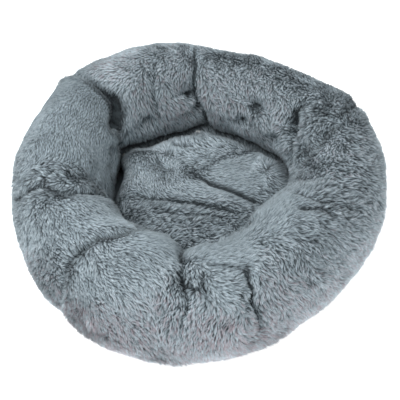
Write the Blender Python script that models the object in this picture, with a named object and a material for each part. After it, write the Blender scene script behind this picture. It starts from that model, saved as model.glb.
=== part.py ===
"""Round plush pet bed: a stuffed ring sewn from eight fur-fabric panels, closed below by a thin
three-layer base, with a loose puffy pad in the nest.

Metres, +Z up. The origin is on the floor under the middle of the bed's outline. Azimuths are in
degrees, anticlockwise from +X when seen from above.
"""

from math import cos, radians, sin, sqrt

import bmesh
import bpy
from mathutils import Vector

# Stuffed ring
RING_RADIUS = 0.181  # floor-plan radius of the tube's centre line
RING_HALF_WIDTH = 0.064
RING_HEIGHT = 0.158  # crest above the base cloth
RING_WIDEST_HEIGHT = 0.070  # where the tube bulges furthest, above the base cloth
FOOT_ANGLE = radians(52)  # how far below level the section stops, at its inner and outer feet
LOBE_ROUNDNESS = 0.8  # under 1, each panel swells steeply from its seams and is round in the middle

# The stuffing is uneven. Each seam, and the middle of the panel that follows it round the ring, stands
# this far outside the plain ring, this far inside it over the nest, and this far above it.
# Each row: azimuth, then (outside, inside, above) at the seam, then the same in the panel's middle.
PANELS = (
    (30, (0.014, -0.008, -0.008), (-0.010, 0.002, -0.014)),
    (90, (-0.005, -0.006, -0.012), (0.004, -0.002, 0.000)),
    (138, (0.018, -0.012, -0.004), (0.000, 0.004, 0.004)),
    (188, (-0.006, 0.002, -0.008), (-0.006, 0.006, 0.000)),
    (223, (-0.005, 0.004, -0.006), (-0.001, 0.014, 0.004)),
    (263, (-0.006, -0.008, -0.010), (-0.009, 0.008, -0.002)),
    (290, (-0.017, 0.012, -0.006), (-0.020, 0.026, 0.010)),
    (341, (-0.011, 0.012, -0.006), (0.000, 0.002, 0.004)),
)

# Layers
PLUSH_THICKNESS = 0.012  # knitted backing with its pile pressed flat
BASE_CLOTH_THICKNESS = 0.002
BASE_WADDING_THICKNESS = 0.006
LINING_THICKNESS = 0.0015

# Pad
PAD_THICKNESS = 0.046
PAD_EDGE_HEIGHT = 0.020  # its edge seam above its underside
PAD_CLEARANCE = 0.002  # all round, inside the narrowest part of the nest, so that it lifts straight out
PAD_CROWN_POWER = 3  # how flat the top stays before it falls to the edge
PAD_FLOOR_POWER = 6

# Threads and fits
THREAD_RADIUS = 0.0005
GAP = 0.0003  # between pieces that touch
FILLING_CLEARANCE = 0.001
SEAM_THREAD_DEPTH = 0.008  # below the face of the plush
THREAD_ROOM = THREAD_RADIUS + GAP
INNER_THREAD_OFFSET = 0.0012  # level distance from the nest wall, which slopes here

# How finely the shapes are cut
COLUMNS = 6  # per panel, round the ring
ROWS = 12  # from foot to foot, over the crest
SHARP_EDGE = radians(50)  # edges that turn more than this are drawn sharp
PAD_SHARES = (0.0, 1 / 3, 2 / 3)  # pad outline points across one panel
CROWN_SHARES = (0.06, 0.40, 0.65, 0.82, 0.92, 0.98, 1.0)  # pad rings, from the middle to the edge

# Heights of the stacked layers
RING_FLOOR = BASE_CLOTH_THICKNESS + GAP
WADDING_TOP = RING_FLOOR + BASE_WADDING_THICKNESS
LINING_FLOOR = WADDING_TOP + GAP
LINING_TOP = LINING_FLOOR + LINING_THICKNESS
PAD_FLOOR = LINING_TOP + GAP


def clear_scene():
    for obj in list(bpy.data.objects):
        bpy.data.objects.remove(obj, do_unlink=True)


def make_material(name, colour, roughness):
    material = bpy.data.materials.new(name)
    material.use_nodes = True
    shader = material.node_tree.nodes["Principled BSDF"]
    shader.inputs["Base Color"].default_value = (*colour, 1)
    shader.inputs["Roughness"].default_value = roughness
    shader.inputs["Metallic"].default_value = 0
    return material


def add_object(name, data, material, collection, parent):
    obj = bpy.data.objects.new(name, data)
    data.materials.append(material)
    collection.objects.link(obj)
    obj.parent = parent
    return obj


def ring_shape(panel, share):
    """Azimuth, outer radius, nest radius and crest height, a share of the way across a panel."""
    azimuth, seam, middle = PANELS[panel]
    next_azimuth, next_seam, _ = PANELS[(panel + 1) % len(PANELS)]
    span = (next_azimuth - azimuth) % 360
    edge = seam if share < 0.5 else next_seam
    swell = sin(radians(180 * share)) ** LOBE_ROUNDNESS
    outside, inside, above = (a + (b - a) * swell for a, b in zip(edge, middle))
    outer = RING_RADIUS + RING_HALF_WIDTH + outside
    nest = RING_RADIUS - RING_HALF_WIDTH - inside
    return radians(azimuth + span * share), outer, nest, RING_HEIGHT + above


def section_point(shape, angle, depth=0.0):
    """Point on the tube's section, depth inside its face: angle 0 points outwards and 90 degrees up."""
    azimuth, outer, nest, height = shape
    rise = height - RING_WIDEST_HEIGHT
    if sin(angle) < 0:
        rise = RING_WIDEST_HEIGHT / sin(FOOT_ANGLE)
    radius = (outer + nest) / 2 + ((outer - nest) / 2 - depth) * cos(angle)
    level = RING_FLOOR + RING_WIDEST_HEIGHT + (rise - depth) * sin(angle)
    return Vector((radius * cos(azimuth), radius * sin(azimuth), level))


def foot_to_foot(rows):
    """Angles from the outer foot, over the crest, to the inner foot."""
    sweep = radians(180) + 2 * FOOT_ANGLE
    return [-FOOT_ANGLE + sweep * row / rows for row in range(rows + 1)]


def nest_wall_radius(shape, level):
    """Radius of the nest wall at a height below its widest bulge."""
    _, outer, nest, _ = shape
    below_bulge = RING_FLOOR + RING_WIDEST_HEIGHT - level
    drop = below_bulge * sin(FOOT_ANGLE) / RING_WIDEST_HEIGHT
    return (outer + nest) / 2 - (outer - nest) / 2 * sqrt(1 - drop**2)


def level_point(azimuth, radius, level):
    return Vector((radius * cos(azimuth), radius * sin(azimuth), level))


def around(shares):
    """The ring's shape at these shares of every panel, once round."""
    return [ring_shape(panel, share) for panel in range(len(PANELS)) for share in shares]


def nest_edge(shares, inset, level):
    """Points round the nest at this height, inset from its wall."""
    return [
        level_point(shape[0], nest_wall_radius(shape, level) - inset, level)
        for shape in around(shares)
    ]


def column_shares():
    return [column / COLUMNS for column in range(COLUMNS)]


def foot_radius(shape):
    return section_point(shape, -FOOT_ANGLE).xy.length


def loft(sections, closes=False):
    """One closed mesh through sections of equally many points, capped at its ends unless it closes."""
    body = bmesh.new()
    loops = [[body.verts.new(point) for point in section] for section in sections]
    following = loops[1:] + loops[:1] if closes else loops[1:]
    for first, second in zip(loops, following):
        for i in range(len(first)):
            j = (i + 1) % len(first)
            body.faces.new((first[i], first[j], second[j], second[i]))
    if not closes:
        body.faces.new(loops[0])
        body.faces.new(loops[-1])
    bmesh.ops.recalc_face_normals(body, faces=body.faces)
    mesh = bpy.data.meshes.new("loft")
    body.to_mesh(mesh)
    body.free()
    mesh.shade_smooth()
    mesh.set_sharp_from_angle(angle=SHARP_EDGE)
    return mesh


def thread_curve(points, closes):
    """A sewing thread along these points."""
    curve = bpy.data.curves.new("thread", "CURVE")
    curve.dimensions = "3D"
    curve.bevel_depth = THREAD_RADIUS
    curve.bevel_resolution = 0
    curve.use_fill_caps = not closes
    spline = curve.splines.new("POLY")
    spline.points.add(len(points) - 1)
    for target, point in zip(spline.points, points):
        target.co = (*point, 1)
    spline.use_cyclic_u = closes
    return curve


def cloth_disc(outline, thickness):
    """A flat cloth with this outline, its mid-plane at z = 0."""
    curve = bpy.data.curves.new("cloth", "CURVE")
    curve.dimensions = "2D"
    curve.fill_mode = "BOTH"
    curve.extrude = thickness / 2
    spline = curve.splines.new("POLY")
    spline.points.add(len(outline) - 1)
    for target, point in zip(spline.points, outline):
        target.co = (point.x, point.y, 0, 1)
    spline.use_cyclic_u = True
    return curve


def panel_sections(panel):
    """C-shaped sections of one plush panel, drawn back from its seams to leave room for the thread."""
    angles = foot_to_foot(ROWS)
    sections = []
    for column in range(COLUMNS + 1):
        shape = ring_shape(panel, column / COLUMNS)
        outside = [section_point(shape, angle) for angle in angles]
        inside = [section_point(shape, angle, PLUSH_THICKNESS) for angle in reversed(angles)]
        draw_back = {0: THREAD_ROOM, COLUMNS: -THREAD_ROOM}.get(column, 0.0)
        along_ring = Vector((-sin(shape[0]), cos(shape[0]), 0))
        sections.append([point + along_ring * draw_back for point in outside + inside])
    return sections


def seam_thread_points(panel):
    """Along the seam at the start of a panel, under the pile."""
    shape = ring_shape(panel, 0.0)
    return [section_point(shape, angle, SEAM_THREAD_DEPTH) for angle in foot_to_foot(ROWS)]


def filling_sections():
    """Closed sections of the ring's fibre filling, flat where it lies on the base cloth."""
    depth = PLUSH_THICKNESS + FILLING_CLEARANCE
    sections = []
    for shape in around(column_shares()):
        section = [section_point(shape, angle, depth) for angle in foot_to_foot(ROWS // 2)]
        for end in (section[-1], section[0]):
            section.append(level_point(shape[0], end.xy.length, RING_FLOOR))
        sections.append(section)
    return sections


def ring_thread_points(inset, level, shares):
    return [level_point(shape[0], foot_radius(shape) - inset, level) for shape in around(shares)]


def pad_outline_radius(shape, inset=0.0):
    return shape[2] - PAD_CLEARANCE - inset


def pad_ring(share, inset, level):
    """Points round the pad at a share of the way from its middle to its outline, inset from it."""
    return [
        level_point(shape[0], pad_outline_radius(shape, inset) * share, level)
        for shape in around(PAD_SHARES)
    ]


def crown_level(share, thickness):
    """Height of the pad's upper surface, with this much taken off its crown."""
    crown = PAD_THICKNESS - PAD_EDGE_HEIGHT - THREAD_ROOM - thickness
    edge_level = PAD_FLOOR + PAD_EDGE_HEIGHT + THREAD_ROOM
    return edge_level + crown * sqrt(1 - share**PAD_CROWN_POWER)


def belly_level(share, thickness):
    """Height of the pad's lower surface, this far inside it."""
    belly = PAD_EDGE_HEIGHT - THREAD_ROOM - thickness
    edge_level = PAD_FLOOR + PAD_EDGE_HEIGHT - THREAD_ROOM
    return edge_level - belly * sqrt(1 - share**PAD_FLOOR_POWER)


def pad_shell_sections(level_at, thickness):
    """Rings of a pad cover: out over its outer face, then back under its inner one."""
    outer = [pad_ring(share, 0.0, level_at(share, 0.0)) for share in CROWN_SHARES]
    inner = [pad_ring(share, thickness, level_at(share, thickness)) for share in CROWN_SHARES]
    return outer + inner[::-1]


def pad_filling_sections():
    over = PLUSH_THICKNESS + FILLING_CLEARANCE
    under = LINING_THICKNESS + FILLING_CLEARANCE
    upper = [pad_ring(share, over, crown_level(share, over)) for share in CROWN_SHARES]
    lower = [pad_ring(share, over, belly_level(share, under)) for share in CROWN_SHARES]
    return upper + lower[::-1]


def pad_thread_points():
    inset = LINING_THICKNESS / 2
    return pad_ring(1.0, inset, PAD_FLOOR + PAD_EDGE_HEIGHT)


def outline_centre():
    """Middle of the bed's outline in the floor plan, measured from the ring's own centre."""
    sections = [section for panel in range(len(PANELS)) for section in panel_sections(panel)]
    across = [point.x for section in sections for point in section]
    deep = [point.y for section in sections for point in section]
    return Vector(((min(across) + max(across)) / 2, (min(deep) + max(deep)) / 2, 0))


def add_empty(name, location, collection, parent=None):
    empty = bpy.data.objects.new(name, None)
    empty.location = location
    collection.objects.link(empty)
    empty.parent = parent
    return empty


def add_ring(collection, bed, finishes):
    for panel in range(len(PANELS)):
        cover = loft(panel_sections(panel))
        add_object(f"bolster_panel_{panel + 1}", cover, finishes["plush"], collection, bed)
        thread = thread_curve(seam_thread_points(panel), closes=False)
        add_object(
            f"panel_seam_thread_{panel + 1}", thread, finishes["thread"], collection, bed
        )
    filling = loft(filling_sections(), closes=True)
    add_object("bolster_filling", filling, finishes["fibre"], collection, bed)


def add_flat_layer(name, outline, floor, thickness, finish, collection, bed):
    layer = add_object(name, cloth_disc(outline, thickness), finish, collection, bed)
    layer.location.z = floor + thickness / 2


def add_base(collection, bed, finishes):
    shares = column_shares()
    add_flat_layer(
        "base_cloth",
        ring_thread_points(2 * THREAD_ROOM, 0.0, shares),
        0.0,
        BASE_CLOTH_THICKNESS,
        finishes["base_cloth"],
        collection,
        bed,
    )
    add_flat_layer(
        "base_wadding",
        nest_edge(shares, FILLING_CLEARANCE, WADDING_TOP),
        RING_FLOOR,
        BASE_WADDING_THICKNESS,
        finishes["fibre"],
        collection,
        bed,
    )
    lining_middle = LINING_FLOOR + LINING_THICKNESS / 2
    add_flat_layer(
        "nest_lining",
        nest_edge(shares, INNER_THREAD_OFFSET + THREAD_ROOM, lining_middle),
        LINING_FLOOR,
        LINING_THICKNESS,
        finishes["lining"],
        collection,
        bed,
    )
    threads = (
        ("outer_foot_thread", ring_thread_points(THREAD_ROOM, RING_FLOOR - THREAD_ROOM, shares)),
        ("inner_foot_thread", nest_edge(shares, INNER_THREAD_OFFSET, lining_middle)),
    )
    for name, points in threads:
        thread = thread_curve(points, closes=True)
        add_object(name, thread, finishes["thread"], collection, bed)


def add_pad(collection, pad, finishes):
    pieces = (
        ("pad_top", loft(pad_shell_sections(crown_level, PLUSH_THICKNESS)), "plush"),
        ("pad_underside", loft(pad_shell_sections(belly_level, LINING_THICKNESS)), "lining"),
        ("pad_filling", loft(pad_filling_sections()), "fibre"),
        ("pad_seam_thread", thread_curve(pad_thread_points(), closes=True), "thread"),
    )
    for name, data, finish in pieces:
        add_object(name, data, finishes[finish], collection, pad)


clear_scene()
bed_collection = bpy.data.collections.new("pet_cushion_bed")
bpy.context.scene.collection.children.link(bed_collection)
finishes = {
    "plush": make_material("blue-grey plush", (0.25, 0.32, 0.35), 0.95),
    "thread": make_material("grey sewing thread", (0.12, 0.15, 0.17), 0.7),
    "fibre": make_material("white hollow fibre", (0.80, 0.80, 0.78), 1.0),
    "base_cloth": make_material("dark non-slip cloth", (0.05, 0.055, 0.06), 0.8),
    "lining": make_material("grey lining cloth", (0.18, 0.21, 0.23), 0.85),
}
bed = add_empty("bed", -outline_centre(), bed_collection)
pad = add_empty("pad_lift_axis", (0, 0, 0), bed_collection, bed)
add_ring(bed_collection, bed, finishes)
add_base(bed_collection, bed, finishes)
add_pad(bed_collection, pad, finishes)
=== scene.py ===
from math import atan2, cos, degrees, pi, radians, sin

import bmesh
import bpy
import numpy as np
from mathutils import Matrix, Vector
from mathutils.bvhtree import BVHTree


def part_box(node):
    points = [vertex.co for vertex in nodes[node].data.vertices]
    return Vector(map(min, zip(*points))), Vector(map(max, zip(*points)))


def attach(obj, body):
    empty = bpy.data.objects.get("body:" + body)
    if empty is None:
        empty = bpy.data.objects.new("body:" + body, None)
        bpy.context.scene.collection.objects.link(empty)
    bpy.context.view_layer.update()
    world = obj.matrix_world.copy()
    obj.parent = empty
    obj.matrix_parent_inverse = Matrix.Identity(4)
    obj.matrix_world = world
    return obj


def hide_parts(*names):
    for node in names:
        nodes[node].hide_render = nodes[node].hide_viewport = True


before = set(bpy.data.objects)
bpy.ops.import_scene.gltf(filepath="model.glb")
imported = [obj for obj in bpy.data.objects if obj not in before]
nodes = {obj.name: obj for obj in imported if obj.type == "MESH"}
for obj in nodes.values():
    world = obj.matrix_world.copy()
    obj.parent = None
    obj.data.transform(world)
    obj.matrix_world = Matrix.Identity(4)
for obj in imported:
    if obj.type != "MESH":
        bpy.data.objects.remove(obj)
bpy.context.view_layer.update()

# ---------------------------------------------------------------------------
# Base of the bed.
# A round of dark non-slip cloth, a thin wadding and a grey lining, sewn one over the other to the
# feet of the ring. Each keeps the outline it was cut to and puckers faintly inside it.
# ---------------------------------------------------------------------------


def wire(tree, kind, sources, **settings):
    """Adds a node, sets its properties and feeds its inputs with values or with other nodes' outputs."""
    made = tree.nodes.new(kind)
    for name, value in settings.items():
        setattr(made, name, value)
    for name, source in sources.items():
        socket = made.inputs[name]
        if isinstance(source, bpy.types.NodeSocket):
            tree.links.new(source, socket)
        else:
            socket.default_value = source
    return made


def math_node(tree, operation, *sources):
    return wire(tree, "ShaderNodeMath", dict(enumerate(sources)), operation=operation).outputs[0]


def ramp(tree, value, stops):
    """A colour ramp through these (place, colour) stops."""
    made = wire(tree, "ShaderNodeValToRGB", {0: value})
    elements = made.color_ramp.elements
    while len(elements) < len(stops):
        elements.new(0.5)
    for element, (place, colour) in zip(elements, stops):
        element.position = place
        element.color = (*colour, 1)
    return made.outputs["Color"]


def new_group(name, inputs, outputs):
    """An empty shader node group with these named number inputs and (name, kind) outputs."""
    group = bpy.data.node_groups.new(name, "ShaderNodeTree")
    for label, value in inputs:
        socket = group.interface.new_socket(label, in_out="INPUT", socket_type="NodeSocketFloat")
        socket.default_value = value
    for label, kind in outputs:
        group.interface.new_socket(label, in_out="OUTPUT", socket_type=kind)
    return group, group.nodes.new("NodeGroupInput"), group.nodes.new("NodeGroupOutput")


def cloth_group():
    """Plain weave: crossing threads, each rising over one and under the next, with faint slubs."""
    group, given, out = new_group(
        "plain_weave",
        [("Threads per Metre", 900.0), ("Slub", 0.3)],
        [("Height", "NodeSocketFloat"), ("Shade", "NodeSocketFloat")],
    )
    threads = {0: group.nodes.new("ShaderNodeTexCoord").outputs["Object"], "Scale": given.outputs[0]}
    scaled = wire(group, "ShaderNodeVectorMath", threads, operation="SCALE")
    split = wire(group, "ShaderNodeSeparateXYZ", {0: scaled.outputs[0]})
    turns = [math_node(group, "MULTIPLY", split.outputs[axis], pi) for axis in ("X", "Y")]
    over = math_node(group, "MULTIPLY", *[math_node(group, "SINE", turn) for turn in turns])
    slubs = wire(group, "ShaderNodeTexNoise", {"Vector": scaled.outputs[0], "Scale": 0.07, "Detail": 4.0})
    slub = math_node(group, "MULTIPLY", slubs.outputs["Fac"], given.outputs[1])
    total = math_node(group, "ADD", math_node(group, "MULTIPLY_ADD", over, 0.25, 0.5), slub)
    for label in ("Height", "Shade"):
        group.links.new(total, out.inputs[label])
    return group


def new_material(name, roughness, sheen=0.0):
    """A matt cloth material, its node tree and its shader."""
    material = bpy.data.materials.new(name)
    material.use_nodes = True
    shader = material.node_tree.nodes["Principled BSDF"]
    shader.inputs["Roughness"].default_value = roughness
    shader.inputs["Specular IOR Level"].default_value = 0.25
    shader.inputs["Sheen Weight"].default_value = sheen
    shader.inputs["Sheen Roughness"].default_value = 0.6
    return material, material.node_tree, shader


def object_place(tree):
    return tree.nodes.new("ShaderNodeTexCoord").outputs["Object"]


def colour_by(tree, value, stops):
    """Colours a material by a value, through these stops."""
    tree.links.new(ramp(tree, value, stops), tree.nodes["Principled BSDF"].inputs["Base Color"])


def emboss(tree, height, distance, **more):
    """Raises a material's surface by a height, to this distance."""
    bump = wire(tree, "ShaderNodeBump", {"Height": height, "Distance": distance, **more})
    tree.links.new(bump.outputs[0], tree.nodes["Principled BSDF"].inputs["Normal"])


def woven(name, roughness, sheen, colours, threads_per_metre, depth, strength):
    """A woven cloth between these two colours."""
    material, tree, shader = new_material(name, roughness, sheen)
    weave = tree.nodes.new("ShaderNodeGroup")
    weave.node_tree = plain_weave
    weave.inputs["Threads per Metre"].default_value = threads_per_metre
    colour_by(tree, weave.outputs["Shade"], list(zip((0.2, 0.9), colours)))
    emboss(tree, weave.outputs["Height"], depth, Strength=strength)
    return material


def put_material(obj, material):
    for index in range(max(1, len(obj.data.materials))):
        if index < len(obj.data.materials):
            obj.data.materials[index] = material
        else:
            obj.data.materials.append(material)


def read_out(rows, field, width=3):
    """One field of many mesh elements, as an array."""
    flat = np.empty(len(rows) * width)
    rows.foreach_get(field, flat)
    return flat.reshape(-1, width)


def points_of_mesh(mesh):
    return read_out(mesh.vertices, "co")


def unit(vectors):
    return vectors / np.maximum(np.linalg.norm(vectors, axis=-1, keepdims=True), 1e-9)


def mottle(points, size, seed):
    """A smooth random field, mostly between -1 and 1, with blotches of this size."""
    rng = np.random.default_rng(seed)
    waves = unit(rng.normal(size=(WAVES, 3))) * rng.uniform(0.6, 1.5, (WAVES, 1)) * pi / size
    return np.sin(points @ waves.T + rng.uniform(0, 2 * pi, WAVES)).sum(-1) / (WAVES / 2) ** 0.5 / 2


def blotches(points, *layers):
    """Smooth random fields added up, one for each (height, size, seed)."""
    return sum(height * mottle(points, size, seed) for height, size, seed in layers)


def plain_mesh(name, points, faces):
    mesh = bpy.data.meshes.new(name)
    mesh.from_pydata(np.asarray(points).tolist(), [], faces)
    mesh.update()
    return mesh


def add_piece(name, mesh, material, body, replaces=()):
    """A finished piece: it rides on its body and stands for these nodes."""
    piece = bpy.data.objects.new(name, mesh)
    mesh.name = name
    bpy.context.scene.collection.objects.link(piece)
    put_material(piece, material)
    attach(piece, body)
    if replaces:
        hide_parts(*replaces)
    return piece


def thicken(piece, thickness):
    """Gives a piece's surface this much cloth behind it."""
    wall = piece.modifiers.new("thickness", "SOLIDIFY")
    wall.thickness = thickness
    wall.offset = -1


def cloth_round(name, node, material, seed, drawn_in=0.0):
    """A layer of the base: a round of cloth with faint puckers, within the space that its node holds."""
    low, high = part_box(node)
    outline = points_of_mesh(nodes[node].data)[:, :2]
    heart = (outline.max(0) + outline.min(0)) / 2
    spokes = outline - heart
    turns = np.linspace(0, 2 * pi, ROUND_SPOKES, endpoint=False)
    turn_of = np.arctan2(spokes[:, 1], spokes[:, 0]) % (2 * pi)
    reach = np.interp(turns, turn_of, np.hypot(spokes[:, 0], spokes[:, 1]), period=2 * pi) - drawn_in
    shares = np.arange(1, ROUND_RINGS + 1) / ROUND_RINGS
    x = heart[0] + np.outer(shares, reach * np.cos(turns)).reshape(-1)
    y = heart[1] + np.outer(shares, reach * np.sin(turns)).reshape(-1)
    points = np.stack([np.append(x, heart[0]), np.append(y, heart[1]), np.zeros(len(x) + 1)], -1)
    deep = high.z - low.z
    pucker = blotches(points, (0.6, 0.030, seed), (0.4, 0.009, seed + 1))
    points[:, 2] = high.z - deep * PUCKERED * (0.5 - 0.5 * np.clip(pucker, -1, 1))
    index = np.arange(len(x)).reshape(ROUND_RINGS, ROUND_SPOKES)
    inner, outer = index[:-1], index[1:]
    quads = [outer, np.roll(outer, -1, 1), np.roll(inner, -1, 1), inner]
    faces = np.stack([q.reshape(-1) for q in quads], -1).tolist()
    faces += [[len(x), int(a), int(b)] for a, b in zip(index[0], np.roll(index[0], -1))]
    mesh = plain_mesh(name, points, faces)
    mesh.shade_smooth()
    layer = add_piece(name, mesh, material, "bed_body", [node])
    thicken(layer, deep * (LAYER_ROOM - PUCKERED))


WAVES = 28  # waves that a random field is made of
ROUND_SPOKES = 160
ROUND_RINGS = 28
LAYER_ROOM = 0.98  # share of its node's thickness that a layer takes up
PUCKERED = 0.35  # share of it that its puckers take up
BASE_DRAWN_IN = 0.005  # the base cloth's edge is tucked under the pile
DOT_SPACING = 0.007
DOT_HEIGHT = 0.0006

plain_weave = cloth_group()

# Non-slip cloth: dark weave printed with small raised rubber dots.
dark_weave = ((0.018, 0.020, 0.022), (0.045, 0.048, 0.052))
grip_cloth = woven("grip_cloth", 0.85, 0.1, dark_weave, 1100.0, 0.0003, 0.6)
tree = grip_cloth.node_tree
shader = tree.nodes["Principled BSDF"]
grid = {"Vector": object_place(tree), "Scale": 1 / DOT_SPACING, "Randomness": 0.0}
dots = wire(tree, "ShaderNodeTexVoronoi", grid, voronoi_dimensions="2D")
dot = ramp(tree, dots.outputs["Distance"], [(0.20, (1, 1, 1)), (0.24, (0, 0, 0))])
cloth_colour = shader.inputs["Base Color"].links[0].from_socket
colour = wire(tree, "ShaderNodeMix", {0: dot, 6: cloth_colour, 7: (0.09, 0.095, 0.10, 1)}, data_type="RGBA")
tree.links.new(colour.outputs[2], shader.inputs["Base Color"])
rough = wire(tree, "ShaderNodeMapRange", {0: dot, 3: 0.85, 4: 0.45})
tree.links.new(rough.outputs[0], shader.inputs["Roughness"])
emboss(tree, dot, DOT_HEIGHT, Normal=shader.inputs["Normal"].links[0].from_socket)
cloth_round("grip_base", "base_cloth", grip_cloth, 5, BASE_DRAWN_IN)

lining_cloth = woven("lining_cloth", 0.85, 0.1, ((0.10, 0.13, 0.15), (0.22, 0.27, 0.30)), 1400.0, 0.0002, 0.6)
cloth_round("nest_floor", "nest_lining", lining_cloth, 7)

# Hollow fibre: white polyester wool in loose curls.
hollow_fibre, tree, shader = new_material("hollow_fibre", 0.95)
loops = {"Vector": object_place(tree), "Scale": 220.0, "Detail": 6.0, "Distortion": 2.5}
curls = wire(tree, "ShaderNodeTexNoise", loops).outputs["Fac"]
colour_by(tree, curls, [(0.30, (0.55, 0.55, 0.53)), (0.65, (0.85, 0.85, 0.83))])
emboss(tree, curls, 0.002)
cloth_round("wadding", "base_wadding", hollow_fibre, 9)

# Sewing thread: dark grey, three strands laid up together.
sewing_thread, tree, shader = new_material("sewing_thread", 0.6, sheen=0.2)
lay = {"Vector": object_place(tree), "Scale": 420.0, "Distortion": 1.0}
twist = wire(tree, "ShaderNodeTexWave", lay, bands_direction="DIAGONAL").outputs["Fac"]
colour_by(tree, twist, [(0.2, (0.07, 0.09, 0.10)), (0.8, (0.17, 0.20, 0.22))])
emboss(tree, twist, 0.0002)
for name in ("outer_foot_thread", "inner_foot_thread"):
    put_material(nodes[name], sewing_thread)

# ---------------------------------------------------------------------------
# Form of the stuffed ring.
# Eight lobes of stuffing swell between the seams. A grid follows the ring: its columns run round
# the bed, seam to seam, and its rows run round the tube's section. Every part of the ring uses it.
# ---------------------------------------------------------------------------

TUBE_RADIUS = 0.181  # plan radius that section angles are measured from
TUBE_LEVEL = 0.0723  # height that section angles are measured from
COLUMN_STEP = radians(0.625)
ROW_STEP = radians(1.875)
FOOT = radians(-60)  # section angle of the outer foot: 0 points outwards, 90 degrees up
COVER_ROWS = 160  # rows from the outer foot, over the crest, to the inner foot
ALL_ROWS = 192  # the rest run back under the ring
FIRST_REACH = 0.115  # rays start this far from the tube's centre line
PANELS = 8
CASE_DEPTH = 0.003  # the knitted backing lies this far inside the tips of the pressed pile
FORM_SOFTENED = 40


def ring_middle(seams):
    """The plan point where the upright planes of the seams meet."""
    lean = np.zeros((2, 2))
    pull = np.zeros(2)
    for seam in seams:
        plan = seam[:, :2]
        middle = plan.mean(0)
        along = np.linalg.svd(plan - middle)[2][0]
        across = np.eye(2) - np.outer(along, along)
        lean += across
        pull += across @ middle
    return np.linalg.solve(lean, pull)


def joined_faces(names):
    """The points and faces of these nodes in one list each."""
    points, faces = [], []
    for name in names:
        offset = len(points)
        points += [v.co.copy() for v in nodes[name].data.vertices]
        faces += [[i + offset for i in face.vertices] for face in nodes[name].data.polygons]
    return points, faces


def cast_form(outside, azimuths, angles):
    """Distance from the tube's centre line to the outside of the ring, for each column and row."""
    reach = np.empty((len(azimuths), len(angles)))
    for column, azimuth in enumerate(azimuths):
        out = Vector((cos(azimuth), sin(azimuth), 0))
        heart = Vector((*middle, TUBE_LEVEL)) + out * TUBE_RADIUS
        for row, angle in enumerate(angles):
            away = out * cos(angle) + Vector((0, 0, sin(angle)))
            hit = outside.ray_cast(heart + away * FIRST_REACH, -away)
            reach[column, row] = FIRST_REACH - hit[3] if hit[0] else np.nan
    return reach


def soften(field, times, axes=(0, 1)):
    """Evens out a field that closes on itself both ways."""
    for _ in range(times):
        for axis in axes:
            field = (np.roll(field, 1, axis) + 2 * field + np.roll(field, -1, axis)) / 4
    return field


def grid_points(reach, azimuths, angles):
    radius = TUBE_RADIUS + reach * np.cos(angles)
    x = middle[0] + radius * np.cos(azimuths)[:, None]
    y = middle[1] + radius * np.sin(azimuths)[:, None]
    return np.stack([x, y, TUBE_LEVEL + reach * np.sin(angles)], -1)


def grid_frame(points):
    """Unit directions at each grid point: round the ring, up over the crest, and outwards."""
    round_ring = unit(np.roll(points, -1, 0) - np.roll(points, 1, 0))
    over = unit(np.roll(points, -1, 1) - np.roll(points, 1, 1))
    outwards = unit(np.cross(round_ring, over))
    return round_ring, over, outwards


seam_points = [points_of_mesh(nodes[f"panel_seam_thread_{i + 1}"].data) for i in range(PANELS)]
middle = ring_middle(seam_points)
seam_azimuths = [atan2(*(p[:, :2].mean(0) - middle)[::-1]) % (2 * pi) for p in seam_points]
panel_columns = []
azimuths = []
for panel in range(PANELS):
    start = seam_azimuths[panel]
    span = (seam_azimuths[(panel + 1) % PANELS] - start) % (2 * pi)
    count = 2 * round(span / COLUMN_STEP / 2)
    panel_columns.append((len(azimuths), count))
    azimuths += [start + span * column / count for column in range(count)]
azimuths = np.array(azimuths)
angles = FOOT + ROW_STEP * np.arange(ALL_ROWS)

panel_nodes = [f"bolster_panel_{i + 1}" for i in range(PANELS)]
reach = cast_form(BVHTree.FromPolygons(*joined_faces(["bolster_filling", *panel_nodes])), azimuths, angles)
for start, _ in panel_columns:  # a ray at a seam slips between two panels
    reach[start] = (reach[start - 2] + reach[(start + 2) % len(azimuths)]) / 2
    reach[start - 1] = reach[start - 2]
    reach[(start + 1) % len(azimuths)] = reach[(start + 2) % len(azimuths)]
reach = soften(reach, FORM_SOFTENED)
form = grid_points(reach, azimuths, angles)
form = form - grid_frame(form)[2] * CASE_DEPTH

# ---------------------------------------------------------------------------
# Creases of the ring.
# The seams draw the cover in, some hard and some hardly at all, and the slack between them folds.
# A crease is a line of (azimuth, section angle) points, how deep it pulls, and how far its two
# sides are drawn in: the left side and the right side of someone who walks along it.
# ---------------------------------------------------------------------------

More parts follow.
